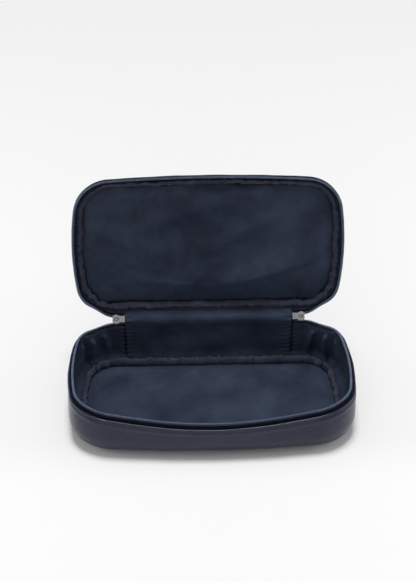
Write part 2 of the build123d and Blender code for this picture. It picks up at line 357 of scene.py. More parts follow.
def unit(vectors):
    """The same directions, each of length one."""
    return vectors / np.linalg.norm(vectors, axis=-1)[..., None]


def bend(first, corner, last, count):
    """Points between two ends, on a curve that leans towards a corner."""
    t = np.linspace(0, 1, count + 2)[1:-1, None]
    return (1 - t)**2 * first + 2 * t * (1 - t) * corner + t**2 * last


def wall_strip(name, tray, profile, finish, start=None, step=2.0, relief=None):
    """A closed section swept round a tray's wall, from start to the same place on the left, or all round.
    profile is a list of (stand-out, depth); relief(s, k) adds to the stand-out at place k of the profile."""
    ring = start is None
    first, last = (0, ROUND) if ring else (start, ROUND - start)
    s = np.linspace(first, last, int((last - first) / step) + 1)
    profile = np.array(profile)
    kept = s[:-1] if ring else s
    stand = np.broadcast_to(profile[None, :, 0], (len(kept), len(profile)))
    if relief:
        stand = stand + relief(kept[:, None], np.arange(len(profile))[None, :])
    points = on_wall(tray, kept[:, None], stand, profile[None, :, 1])
    return strip(name, points, s, closed_length(profile), tray.name, finish, ring=ring, loop=True)


def tube(path, radius, sides, up=(0.0, 0.0, 1.0)):
    """Rings of points round a path, as an array [path, side]. The path must not run along up."""
    tangent = unit(np.gradient(path, axis=0))
    side = unit(np.cross(tangent, up))
    other = np.cross(side, tangent)
    angle = np.arange(sides) * 2 * pi / sides
    radius = np.broadcast_to(radius, len(path))[:, None, None]
    return path[:, None] + radius * (side[:, None] * np.cos(angle)[None, :, None]
                                     + other[:, None] * np.sin(angle)[None, :, None])


def beads(name, centre, along, out, size, body, finish):
    """Many small rounded stitches: centres, their directions, and size = (length, width, height)."""
    rings, sides = 5, 6
    uv_cell = 0.3
    lat = np.linspace(0, pi, rings + 1)[:, None]
    lon = (np.arange(sides) * 2 * pi / sides)[None, :]
    form = np.stack([np.cos(lat) + 0 * lon, np.sin(lat) * np.cos(lon), np.sin(lat) * np.sin(lon)], -1)
    form[..., 0] = blunt(form[..., 0], 0.7)
    along = unit(along)
    across = unit(np.cross(out, along))
    out = np.cross(along, across)
    axes = np.stack([along * size[0] / 2, across * size[1] / 2, out * size[2] / 2], 1)
    points = centre[:, None, None] + np.einsum("rsk,nkd->nrsd", form, axes)
    faces, uvs = [], []
    for ring in range(rings):
        for k in range(sides):
            low, high = ring * sides, (ring + 1) * sides
            after = (k + 1) % sides
            faces.append([low + k, low + after, high + after, high + k])
            uvs += [(ring, k), (ring, k + 1), (ring + 1, k + 1), (ring + 1, k)]
    first = np.arange(len(centre)) * (rings + 1) * sides
    every = (np.array(faces)[None] + first[:, None, None]).reshape(-1, 4)
    uv = np.tile(np.array(uvs, float) * uv_cell, (len(centre), 1))
    piece = make(name, points, every.tolist(), uv, body, finish)
    recalculated(piece.data, merge=1e-6)


def stitch_row(name, tray, s, stand, depth, size, finish):
    """A row of stitches that lies along the rim at the distances s, riding on its tray."""
    step = 0.4
    centre = on_wall(tray, s, stand, depth)
    along = on_wall(tray, s + step, stand, depth) - on_wall(tray, s - step, stand, depth)
    out = on_wall(tray, s, stand + step, depth) - centre
    beads(name, centre, along, out, size, tray.name, finish)


# ---- materials
class Finish:
    """A Principled material and the small node graph that feeds it."""

    def __init__(self, name, **constants):
        self.material = bpy.data.materials.new(name)
        self.material.use_nodes = True
        self.nodes = self.material.node_tree.nodes
        self.links = self.material.node_tree.links
        self.shader = self.nodes["Principled BSDF"]
        for socket, value in constants.items():
            self.shader.inputs[socket.replace("_", " ")].default_value = value

    def add(self, kind, inputs=None, **settings):
        """A node; inputs maps a socket's name or number to a value or to another node's output."""
        node = self.nodes.new(kind)
        assign(node, **settings)
        for socket, value in (inputs or {}).items():
            if isinstance(value, bpy.types.NodeSocket):
                self.links.new(value, node.inputs[socket])
            else:
                node.inputs[socket].default_value = value
        return node

    def math(self, operation, a, b=0.0):
        return self.add("ShaderNodeMath", {0: a, 1: b}, operation=operation).outputs[0]

    def plus(self, base, value, share):
        """base with a share of value added."""
        return self.math("ADD", base, self.math("MULTIPLY", value, share))

    def place_in(self, where="Object"):
        """Coordinates: "Object" is the row frame in metres, "UV" is the cut in metres."""
        return self.add("ShaderNodeTexCoord").outputs[where]

    def noise(self, where, scale, detail=3.0, roughness=0.5):
        return self.add("ShaderNodeTexNoise", {"Vector": where, "Scale": scale, "Detail": detail,
                                               "Roughness": roughness}).outputs["Fac"]

    def fade(self, value, low, high):
        """value from 0.3 to 0.7 spread over low to high."""
        node = self.add("ShaderNodeMapRange", {"Value": value, "From Min": 0.3, "From Max": 0.7,
                                               "To Min": low, "To Max": high})
        return node.outputs["Result"]

    def tint(self, value, low, high):
        """A colour between two, by a value from 0 to 1."""
        node = self.add("ShaderNodeMix", {"Factor": value}, data_type="RGBA")
        node.inputs["A"].default_value = (*low, 1)
        node.inputs["B"].default_value = (*high, 1)
        return node.outputs["Result"]

    def dress(self, shade, low, high, **sockets):
        """Feeds a colour between two, and the other sockets that are named; gives the material."""
        self.links.new(self.tint(shade, low, high), self.shader.inputs["Base Color"])
        for socket, value in sockets.items():
            self.links.new(value, self.shader.inputs[socket])
        return self.material

    def bump(self, height, distance, strength=1.0, over=None):
        inputs = {"Height": height, "Distance": distance, "Strength": strength}
        if over is not None:
            inputs["Normal"] = over
        return self.add("ShaderNodeBump", inputs).outputs["Normal"]

    def waves(self, where, direction, period):
        """Sine from -1 to 1 along a direction of the cut."""
        node = self.add("ShaderNodeVectorMath", {0: where, 1: (*direction, 0.0)}, operation="DOT_PRODUCT")
        return self.math("SINE", self.math("MULTIPLY", node.outputs["Value"], 2 * pi / period))


def leather():
    """Smooth navy calf: fine closed grain, soft creases, uneven gloss."""
    f = Finish("navy_leather", IOR=1.46, Specular_IOR_Level=0.30, Coat_Weight=0.2, Coat_Roughness=0.15)
    where = f.place_in()
    grain = f.add("ShaderNodeTexVoronoi", {"Vector": where, "Scale": 1300.0, "Randomness": 0.95},
                  feature="DISTANCE_TO_EDGE").outputs["Distance"]
    creased = f.bump(f.noise(where, 55.0, 2.0), 0.0012, 0.5)
    grained = f.bump(f.math("MINIMUM", grain, 0.12), 0.00030, 0.30, creased)
    tone = f.fade(f.noise(where, 160.0, 4.0, 0.6), 0, 1)
    return f.dress(tone, (0.0070, 0.0085, 0.0270), (0.0125, 0.0150, 0.0420),
                   Roughness=f.fade(f.noise(where, 420.0, 4.0, 0.65), 0.28, 0.35),
                   Normal=f.bump(f.noise(where, 5200.0, 2.0), 0.00006, 0.4, grained))


def twill(name, low, high):
    """Fine twill lining: diagonal ribs of warp and weft, a faint sheen, and broad cloudy patches of painted
    sheen in its colour that stand in for light on crumples.
    """
    f = Finish(name, Sheen_Weight=0.06, Sheen_Roughness=0.42, Specular_IOR_Level=0.16, IOR=1.45)
    f.shader.inputs["Sheen Tint"].default_value = (0.55, 0.68, 1.0, 1)
    cut, where = f.place_in("UV"), f.place_in()
    period = 0.00062
    diagonal = f.waves(cut, (0.894, 0.447), period)
    weave = f.plus(f.math("MULTIPLY", diagonal, 0.65), f.waves(cut, (-0.447, 0.894), period * 0.62), 0.35)
    slub = f.noise(where, 900.0, 3.0, 0.6)
    # The broad cloud noise lightens and darkens the colour in patches: painted sheen standing in for light
    # on crumples.
    shade = f.plus(f.fade(f.noise(where, 34.0, 3.0, 0.55), 0.15, 0.85), weave, 0.12)
    creased = f.bump(f.noise(where, 120.0, 2.0), 0.0008, 0.35)
    return f.dress(f.plus(shade, f.math("SUBTRACT", slub, 0.5), 0.5), low, high,
                   Roughness=f.fade(f.noise(where, 60.0, 3.0), 0.50, 0.62),
                   Normal=f.bump(weave, 0.00007, 0.7, f.bump(slub, 0.00005, 0.6, creased)))


def ribbon(name, low, high, across, period, depth, rough, sheen=0.06):
    """Woven tape: ribs one way, finer yarn the other way."""
    f = Finish(name, Sheen_Weight=sheen, Sheen_Roughness=0.45, Specular_IOR_Level=0.08, IOR=1.45)
    cut, where = f.place_in("UV"), f.place_in()
    yarn = f.waves(cut, (across[1], across[0]), period * 0.55)
    weave = f.plus(f.math("MULTIPLY", f.waves(cut, across, period), 0.7), yarn, 0.3)
    slub = f.noise(where, 1100.0, 3.0, 0.6)
    wear = f.fade(f.noise(where, 90.0, 3.0, 0.6), 0.1, 0.8)
    return f.dress(f.plus(wear, weave, 0.14), low, high, Roughness=f.fade(slub, rough - 0.07, rough + 0.07),
                   Normal=f.bump(weave, depth, 0.8, f.bump(slub, 0.00006, 0.6)))


def nylon(name, low, high, rough, gloss=0.55):
    """Drawn nylon: faint draw marks and cloudy colour; gloss is the specular level."""
    f = Finish(name, IOR=1.53, Specular_IOR_Level=gloss, Coat_Weight=gloss / 4, Coat_Roughness=0.2)
    where = f.place_in()
    return f.dress(f.fade(f.noise(where, 240.0, 3.0), 0, 1), low, high,
                   Roughness=f.fade(f.noise(where, 1500.0, 3.0), rough - 0.06, rough + 0.08),
                   Normal=f.bump(f.noise(where, 6000.0, 2.0), 0.00003, 0.5))


def nickel(name, low, high):
    """Nickel plate over a casting: hairline marks, soft waviness, duller in places."""
    f = Finish(name, Metallic=1.0)
    where = f.place_in()
    long_way = f.add("ShaderNodeMapping", {"Vector": where, "Scale": (1.0, 14.0, 14.0)}).outputs["Vector"]
    marks = f.noise(long_way, 420.0, 5.0, 0.7)
    dull = f.noise(where, 520.0, 3.0)
    return f.dress(f.fade(dull, 0, 1), low, high, Roughness=f.fade(marks, 0.13, 0.26),
                   Normal=f.bump(marks, 0.00002, 0.35, f.bump(dull, 0.00008, 0.3)))


def fibre(name, low, high, scale, rough, depth):
    """Pressed board, felt or foam: a matted noise surface."""
    f = Finish(name, Specular_IOR_Level=0.25)
    mat = f.noise(f.place_in(), scale, 5.0, 0.7)
    return f.dress(f.fade(mat, 0, 1), low, high, Roughness=f.fade(mat, rough - 0.05, rough + 0.05),
                   Normal=f.bump(mat, depth, 0.6))


def paper_floor():
    """Pale seamless studio paper."""
    f = Finish("studio_paper", Roughness=0.9, Specular_IOR_Level=0.1)
    tooth = f.fade(f.noise(f.place_in(), 900.0, 3.0), 0, 1)
    return f.dress(tooth, (0.825, 0.825, 0.825), (0.835, 0.835, 0.835))


LEATHER = leather()
# The wide spread between the two navies serves the twill's patches of painted sheen.
LINING = twill("navy_twill", (0.0095, 0.0145, 0.0290), (0.0375, 0.0515, 0.0850))
BINDING = ribbon("binding_tape", (0.024, 0.026, 0.043), (0.053, 0.057, 0.088), (1.0, 0.0), 0.0008,
                 0.00010, 0.62)
# Near-black tape: its colour paints the shade in the gap between the coil and the leather.
SHADED_TAPE_CLOTH = ribbon("zip_tape_weave_painted_shade", (0.0012, 0.0015, 0.0032), (0.0032, 0.0042, 0.0085), (0.7, 0.7), 0.0007,
                    0.00009, 0.7, 0.0)
COIL = nylon("coil_nylon", (0.080, 0.116, 0.200), (0.125, 0.172, 0.275), 0.34)
THREAD = nylon("bonded_thread", (0.014, 0.019, 0.036), (0.026, 0.034, 0.058), 0.46)
# Near-black thread: paints the shade in the hinge seams' grooves and between the coil's turns.
SHADE_THREAD = nylon("thread_painted_shade", (0.0015, 0.0018, 0.0036), (0.0035, 0.0042, 0.0080), 0.6, 0.1)
NICKEL = nickel("polished_nickel", (0.46, 0.46, 0.48), (0.60, 0.60, 0.62))
# Near-black nickel: paints the shade in the slider eye's groove; it is not a real dark finish.
SHADE_NICKEL = nickel("nickel_painted_groove_shade", (0.035, 0.035, 0.038), (0.06, 0.06, 0.063))
BOARD = fibre("grey_board", (0.22, 0.20, 0.17), (0.34, 0.31, 0.27), 700.0, 0.85, 0.00008)
FOAM = fibre("thin_foam", (0.50, 0.50, 0.48), (0.64, 0.64, 0.61), 1500.0, 0.9, 0.00015)
FELT = fibre("bonded_fibre", (0.008, 0.010, 0.018), (0.016, 0.020, 0.034), 1200.0, 0.9, 0.0001)


# ---- leather
HEM_FOOT = 11.0
CREASE = 1.9
LEATHER_THICK = 1.2
SEAM_TUCK = 2.2
TOP_STITCH = (2.4, 0.5, 0.42)
TOP_STITCH_PITCH = 3.1
SPINE_PROUD = 0.75
SPINE_LAP = 0.9
SPINE_TOP = 5.0


def leather_section(tray):
    """Closed section of the wall leather: turned top edge, creased hem, rounded edge, tucked seam."""
    top = ZIP_REVEAL
    hem_foot = min(HEM_FOOT, tray.depth * 0.75)
    straight = tray.depth - tray.edge_radius
    points = []
    for depth in (hem_foot, (top + hem_foot) / 2, top + 0.9):
        points.append((stand_out(tray, 2.3, depth), depth))
    turned = float(stand_out(tray, 0.65, top + 0.7))
    for angle in np.radians([150, 120, 90, 60, 30]):
        points.append((turned + math.cos(angle), top + 0.8 - 0.8 * math.sin(angle)))
    crease = top + CREASE
    hem = tray.hem
    for depth, proud in (
            (top + 0.9, hem), (crease - 0.45, hem), (crease, hem - 0.5), (crease + 0.45, hem + 0.05),
            (hem_foot - 0.8, hem), (hem_foot, hem / 3), (hem_foot + 0.8, 0.0)):
        points.append((stand_out(tray, -proud, depth), depth))
    steps = 6 if straight > hem_foot + 3 else 2
    for depth in np.linspace(hem_foot + 1.6, max(straight, hem_foot + 1.7), steps):
        points.append((stand_out(tray, 0, depth), depth))
    first = math.asin(max(0.0, (points[-1][1] + 0.4 - straight)) / tray.edge_radius)
    edge = tray.bulge - tray.edge_radius
    points += round_edge(tray, tray.edge_radius, first, pi / 2, 12)[1:]
    for inward, lift in ((1.2, 0.0), (1.9, 0.25), (SEAM_TUCK, 0.9), (SEAM_TUCK, LEATHER_THICK + 0.3)):
        points.append((edge - inward, tray.depth - lift))
    points += round_edge(tray, tray.edge_radius - LEATHER_THICK, pi / 2, first, 8)[:-1]
    points.append((stand_out(tray, LEATHER_THICK, hem_foot + 1.2), hem_foot + 1.2))
    return [(float(a), float(b)) for a, b in points]


def leather_shell(tray):
    """The wall leather and the stitches in its crease."""
    name = tray.name

    def relief(s, k):
        return 0.22 * ripple(s / 46.0, k / 14.0, 5) + 0.05 * ripple(s / 9.0, k / 6.0, 8)

    wall = wall_strip(f"{name}_leather_shell", tray, leather_section(tray), LEATHER,
                      start=SPINE_HALF - 1.0, step=1.6, relief=relief)
    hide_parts(f"{name}_leather_wall")
    s = np.arange(SPINE_HALF + 3.0, ROUND - SPINE_HALF - 3.0, TOP_STITCH_PITCH)
    depth = ZIP_REVEAL + CREASE
    stitch_row(f"{name}_top_stitching", tray, s, stand_out(tray, -0.12, depth), depth, TOP_STITCH,
               THREAD)


def leather_panel(tray):
    """The outer leather panel: a rolled edge in the seam groove, and a soft crown on the lid's."""
    edge = tray.bulge - tray.edge_radius - SEAM_TUCK
    s = np.linspace(0, ROUND, 260)[:-1]
    rolled = ((0.0, LEATHER_THICK + 0.2), (0.0, 0.75), (-0.25, 0.3), (-0.8, 0.06), (-1.6, 0.0))
    rings = [level_ring(tray, s, edge + stand, tray.depth - lift) for stand, lift in rolled]
    flat_edge = edge + rolled[-1][0]
    point, normal = rim(s)
    for share in (0.97, 0.93, 0.86, 0.76, 0.62, 0.46, 0.3, 0.14):
        rise = 0.0
        if tray is LID:
            spot = (point + normal * flat_edge) * share
            wave = 0.12 * ripple(spot[:, 0] / 60, spot[:, 1] / 45, 31)
            rise = 0.9 * smooth((1 - share) / 0.5) + wave * smooth((1 - share) / 0.2)
        rings.append(level_ring(tray, s, flat_edge, tray.depth + rise, share))
    grid = np.stack(rings, 1)
    faces, corners = capped(grid)
    uv = np.stack([corners[:, 0], corners[:, 1] + corners[:, 2]], -1)
    piece = make(f"{tray.name}_leather_panel_skin", grid, faces, uv, tray.name, LEATHER,
                 shut=True)
    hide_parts(f"{tray.name}_leather_panel")


def spine_section(stand_by):
    """Points from the base's foot over the fold to the lid's, at a distance outside the walls."""
    leaves = []
    for tray in (BASE, LID):
        straight = tray.depth - tray.edge_radius
        last = math.asin(max(0.0, 5.5 - straight) / tray.edge_radius)
        leaf = round_edge(tray, tray.edge_radius + stand_by, pi / 2, last, 12)
        if straight > SPINE_TOP:
            leaf += [(stand_out(tray, -stand_by, d), d) for d in np.linspace(straight, SPINE_TOP, 9)]
        leaves.append([on_back(tray, *point) for point in leaf])
    base, lid = leaves
    hinge = on_back(BASE, stand_by * 1.3, stand_by * 0.9)
    return np.vstack([base, bend(base[-1], hinge, lid[-1], 13), lid[::-1]])


def spine_leather():
    """One leather strip from the base's wall over the fold to the lid's wall, thinner towards its ends."""
    half = SPINE_HALF + SPINE_LAP
    x = np.concatenate([[-half, 0.25 - half], np.linspace(0.9 - half, half - 0.9, 75), [half - 0.25, half]])
    outer, inner = spine_section(SPINE_PROUD), spine_section(SPINE_PROUD - LEATHER_THICK)
    path = np.vstack([outer, inner[::-1]])
    points = np.repeat(path[None], len(x), 0)
    points[..., 0] = x[:, None]
    thin = np.clip((half - np.abs(x)) / 0.9, 0, 1)
    tuck = (1 - np.sqrt(1 - (1 - thin)**2)) * 0.8
    middle = (outer + inner) / 2
    middle = np.vstack([middle, middle[::-1]])
    points[..., 1:] += (middle[None, :, 1:] - points[..., 1:]) * tuck[:, None, None]
    count = len(outer)
    k = np.arange(2 * count)
    near_fold = bell(np.minimum(k, 2 * count - 1 - k) - count * 0.62, 5.0)
    across, along = x[:, None], k[None, :]
    points[..., 1] += 0.18 * ripple(across / 38, along / 13, 12)
    points[..., 1] += 0.25 * ripple(across / 16, along / 40, 3) * near_fold
    points[..., 2] = np.maximum(points[..., 2], 0.0)
    piece = strip("spine_leather", points, x, closed_length(path), None, LEATHER, loop=True)
    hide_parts("base_spine_leather", "lid_spine_leather")
    place(BASE, 0.0, HALF_DEPTH, 6.5) * MM
    place(LID, 0.0, HALF_DEPTH, 6.5) * MM
    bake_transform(piece)


# ---- zip
def zip_tape(tray):
    """The woven tape, near-black so that it paints the shade in the gap under the coil: its outer face shows
    above the leather, its inner face below the coil.
    """
    depths = np.linspace(TAPE_TOP, tray.tape_width, 9)
    outer = [(stand_out(tray, TAPE_INSET, d), d) for d in depths]
    inner = [(stand_out(tray, TAPE_INSET + TAPE, d), d) for d in depths[::-1]]

    def relief(s, k):
        return 0.06 * ripple(s / 14.0, k / 9.0, 17)

    piece = wall_strip(f"{tray.name}_zip_tape_cloth", tray, outer + inner, SHADED_TAPE_CLOTH,
                       start=SPINE_HALF, relief=relief)
    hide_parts(f"{tray.name}_zip_tape")


def coil_place(tray, inward, down):
    """Stand-out and depth of a point of the coil's section, from its middle; the lid's coil is tilted."""
    c, s = math.cos(tray.coil_tilt), math.sin(tray.coil_tilt)
    middle = COIL_INSET + COIL_THICKNESS / 2 + tray.coil_shift
    return -(middle + inward * c + down * s), COIL_MIDDLE + down * c - inward * s


def zip_coil(tray):
    """A flattened nylon helix with thicker heads, sewn to the tape by two rows of thread over a cord."""
    turns = int((ROUND - 2 * COIL_START) / PITCH)
    per_turn = 12
    t = np.arange(turns * per_turn + 1) / per_turn
    phase = 2 * pi * (t + (0.5 if tray is LID else 0.0))
    s = COIL_START + t * PITCH
    c, d = np.cos(phase), np.sin(phase)
    inward = (COIL_THICKNESS - WIRE) / 2 * blunt(c, 0.75)
    down = (COIL_WIDTH - WIRE) / 2 * blunt(d, 0.75)
    path = on_wall(tray, s, *coil_place(tray, inward, down))
    head = np.clip(-d, 0, 1)**3
    rings = tube(path, WIRE / 2 * (1 + 0.3 * head), 6)
    across = np.arange(7) * WIRE * pi / 6
    piece = strip(f"{tray.name}_coil", rings, s, across, tray.name, COIL, loop=True)
    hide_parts(f"{tray.name}_zip_coil")
    # The threads and the cord are near-black thread, which paints the shade between the coil's turns so only
    # the heads look light.
    rows = np.arange(COIL_START + 1, ROUND - COIL_START - 1, PITCH)
    for row, down in enumerate((0.1, 0.95)):
        stand, depth = coil_place(tray, COIL_THICKNESS / 2 + 0.02, down)
        stitch_row(f"{tray.name}_coil_thread_{row + 1}", tray, rows, stand, depth, COIL_STITCH,
                   SHADE_THREAD)
    step = 3.0
    core = on_wall(tray, np.arange(COIL_START, ROUND - COIL_START, step), *coil_place(tray, 0.0, 0.2))
    strip(f"{tray.name}_coil_cord", tube(core, CORD_RADIUS, 6), np.arange(len(core)) * step,
          np.arange(7) * 0.57, tray.name, SHADE_THREAD, loop=True)


def clad(node, finish):
    """A node of the CAD's own shape, given a finish."""
    piece = frame["nodes"][node]
    piece.data.materials.clear()
    piece.data.materials.append(finish)
    return piece


def metal_parts():
    """The CAD sliders, crowns, pulls and stops keep their shape; their edges are softly rounded."""
    for side in ("left", "right"):
        for part, width in (
                ("slider_body", 0.16), ("slider_crown", 0.14), ("pull_tab", 0.2), ("zip_stop", 0.1)):
            piece = clad(f"{part}_{side}", NICKEL)
            assign(piece.modifiers.new("soft_edges", "BEVEL"), width=width * MM, segments=3,
                   limit_method="ANGLE", angle_limit=math.radians(35), harden_normals=True)


def slider_eyes():
    """The oval eye pressed in each slider's inner plate, drawn as a rolled ring of near-black nickel that
    paints the shade in its groove.
    """
    wide, high = 1.7, 1.15
    inward = np.array([0.0, -math.cos(OPEN / 2), math.sin(OPEN / 2)])
    upward = np.array([0.0, math.sin(OPEN / 2), math.cos(OPEN / 2)])
    hinge = np.array([0.0, HALF_DEPTH, BASE_DEPTH])
    angle = np.arange(28) * 2 * pi / 28
    oval = np.outer(np.cos(angle) * wide, (1.0, 0.0, 0.0)) + np.outer(np.sin(angle) * high, upward)
    for side, sign in (("left", -1), ("right", 1)):
        body = frame["nodes"][f"slider_body_{side}"]
        spots = np.array([body.matrix_world @ vertex.co for vertex in body.data.vertices]) / MM
        centre = hinge + inward * ((spots - hinge) @ inward).max()
        centre[0] = spots[:, 0].mean() + sign * 0.9
        strip(f"slider_eye_{side}", tube(centre + oval, 0.34, 8, up=inward), np.arange(29) * 0.33,
              np.arange(9) * 0.27, f"slider_{side}", SHADE_NICKEL, ring=True, loop=True)


# ---- lining
CLOTH = 0.4
PUCKER = 4.1
HINGE_SHIFT = 3.0
BINDING_NECK = 0.3
LINING_INSET = 2.15
LINING_STITCH = (2.3, 0.42, 0.36)
LINING_STITCH_PITCH = 3.4
SEAM_STITCH = (2.2, 1.8, 0.8)
BINDING_STITCH = (2.0, 0.42, 0.36)
BINDING_STITCH_PITCH = 3.3
HINGE_INSET = 3.0
FOLD_INSET = 8.4
FOLD_HEIGHT = 7.6
FOAM_GAP = 7.0
BACK_CORNERS = (BACK_CORNER_MIDDLE, ROUND - BACK_CORNER_MIDDLE)


def pleats(s, seed, amount):
    """Gathers at the two back corners: a few soft folds that run down the wall."""
    total = 0.0
    random = np.random.default_rng(seed)
    for corner in BACK_CORNERS:
        for offset in (-27, -17, -8, 1, 12, 21):
            at = corner + offset + random.uniform(-2, 2)
            width = random.uniform(3.2, 5.5)
            total = total + random.uniform(0.5, 1.0) * np.exp(-np.abs((s - at) / width)**1.5)
    return amount * total


def corner_folds(s, t):
    """One large soft fold at each back corner and a smaller one on either side of it, for the upper wall."""
    total = 0.0
    for corner, away in zip(BACK_CORNERS, (1, -1)):
        for offset, width, high, lean in (
                (1.0, 2.8, 7.2, 6.0), (-14.0, 3.2, 4.4, -7.0), (16.0, 3.2, 4.2, 8.0)):
            at = corner + away * (offset + lean * (t - 0.2))
            total = total + high * np.exp(-np.abs((s - at) / width)**1.6)
    return total * smooth(t / 0.16) * (1 - smooth((t - 0.45) / 0.50))


def wall_lining(tray):
    """Twill wall lining: a stitched top fold, gathers at the back corners, loose folds lower down."""
    steps, size, foot_inset, stitch_drop = (26, 1.0, 2.6, 1.5)
    if tray is LID:
        steps, size, foot_inset, stitch_drop = (10, 0.15, 0.3, 0.7)
    s = np.arange(SPINE_HALF - 1.5, ROUND - SPINE_HALF + 1.5, 1.2)[:, None]
    t = np.concatenate([[0, 0.012, 0.03, 0.06], np.linspace(0.1, 1, steps)])[None, :]
    depth = tray.lining_top + t * (tray.floor + 0.2 - tray.lining_top)
    from_end = np.minimum(s - SPINE_HALF, ROUND - SPINE_HALF - s)
    fold = 0.6 * size * bell(t - 0.03, 0.03)
    folds = (1.2 + pleats(s + 3.0 * (t - 0.4), 41, 1.6) + 1.0 * ripple(s / 30, t * 1.1, 4)
             + 0.3 * ripple(s / 8, t * 1.6, 6))
    loose = np.sin(pi * np.clip(t, 0, 1))**0.8
    puff = loose * size * smooth(from_end / 3.0) * folds + size * corner_folds(s, t)
    hold = 0.16 * np.abs(np.sin(pi * s / LINING_STITCH_PITCH)) * bell(t - 0.07, 0.05)
    pucker = 0.8 * size * np.sin(2 * pi * depth / PUCKER) * bell(np.maximum(from_end, 0), 5.0)
    foot = smooth((t - 0.75) / 0.25) * foot_inset
    inset = LINING_INSET + fold + puff + hold + pucker * smooth(from_end / 1.5) + foot
    points = on_wall(tray, s, np.maximum(stand_out(tray, inset, depth), -tray.ridge_inset), depth)
    piece = strip(f"{tray.name}_wall_lining_cloth", points, s[:, 0], lengths(points), tray.name,
                  LINING)
    thicken(piece)
    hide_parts(f"{tray.name}_wall_lining")
    rows = np.arange(SPINE_HALF + 1.5, ROUND - SPINE_HALF - 1.5, LINING_STITCH_PITCH)
    depth = tray.lining_top + stitch_drop
    stitch_row(f"{tray.name}_lining_stitches", tray, rows, stand_out(tray, LINING_INSET + 0.6, depth), depth,
               LINING_STITCH, THREAD)


def thicken(piece):
    """Gives a cloth its thickness."""
    assign(piece.modifiers.new("cloth_thickness", "SOLIDIFY"), thickness=CLOTH * MM, offset=0.0)


def hinge_lining():
    """Twill over the fold, from the base's bound seam to the lid's, between two puckered seams."""
    half = SPINE_HALF + 0.4
    near_edge = np.linspace(0, 1, 9)[:-1]**1.5 * 8.0
    x = np.concatenate([[-half - 0.6], -half + near_edge, np.linspace(8 - half, half - 8, 96),
                        half - near_edge[::-1], [half + 0.6]])
    wall_depths = np.linspace(BASE.floor - 0.5, 5.0, 36)
    low = [on_back(BASE, -BASE.ridge_inset, BASE.floor + 0.1)]
    low += [on_back(BASE, stand_out(BASE, HINGE_INSET, d), d) for d in wall_depths]
    high = [on_back(LID, stand_out(LID, HINGE_INSET, d), d) for d in np.linspace(4.2, LID.floor - 0.3, 6)]
    high += [on_back(LID, -LID.ridge_inset - HINGE_SHIFT, LID.floor + 0.1)]
    corner = np.array([0.0, HALF_DEPTH - FOLD_INSET, BASE_DEPTH + FOLD_HEIGHT])
    path = np.vstack([low, bend(low[-1], corner, high[0], 16), high])
    tangent = unit(np.gradient(path, axis=0))
    inward = np.stack([np.zeros(len(path)), -tangent[:, 2], tangent[:, 1]], -1)
    k = np.linspace(0, 1, len(path))[None]
    down = run_length(path)
    across = x[:, None]
    from_edge = np.maximum(half - np.abs(across), 0)
    slack = smooth(from_edge / 3.0) * np.sin(pi * np.clip(k * 1.02, 0, 1))**0.7
    swell = slack * (1.2 + ripple(across / 75, k * 2.1, 9) + 0.35 * ripple(across / 22, k * 3, 2))
    wave = down + 1.6 * np.sin(across / 31 + 1.0) + 0.7 * np.sin(across / 9.0)
    fold = 0.5 * bell(wave - 0.80 * down[-1], 2.6) * smooth(from_edge / 6.0)
    pucker = 0.95 * np.sin(2 * pi * down / PUCKER + np.sign(across)) * bell(from_edge, 6.5)
    seam = bell(from_edge, 0.9)
    from_tip = np.minimum(np.arange(len(path)), np.arange(len(path))[::-1])
    off = (swell + fold + pucker * smooth(from_edge / 1.2) - seam) * np.clip(from_tip / 4.0, 0, 1)
    points = path[None] + inward[None] * off[..., None]
    points[..., 0] = across
    piece = strip("hinge_lining_cloth", points, x, down, None, LINING)
    thicken(piece)
    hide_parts("base_hinge_lining", "lid_hinge_lining")
    place(BASE, 0.0, HALF_DEPTH - 3, 5.5) * MM
    place(LID, 0.0, HALF_DEPTH - 3, 5.5) * MM
    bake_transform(piece)
    seam_stitches(path, inward, down, half)


def seam_stitches(path, inward, down, half):
    """Near-black stitches sunk in the two upright seams, up to where the fold begins; their colour paints
    the shade in the seam grooves.
    """
    at = np.arange(8.0, down[-1] * 0.66, PUCKER)
    centre = np.stack([np.interp(at, down, path[:, k]) for k in range(3)], -1)
    out = np.stack([np.interp(at, down, inward[:, k]) for k in range(3)], -1)
    along = np.gradient(centre, axis=0)
    spot = centre + out * 0.1
    for side, sign in (("left", -1), ("right", 1)):
        spot[:, 0] = sign * (half + 0.1)
        beads(f"hinge_seam_stitches_{side}", spot, along, out, SEAM_STITCH, "base",
              SHADE_THREAD)


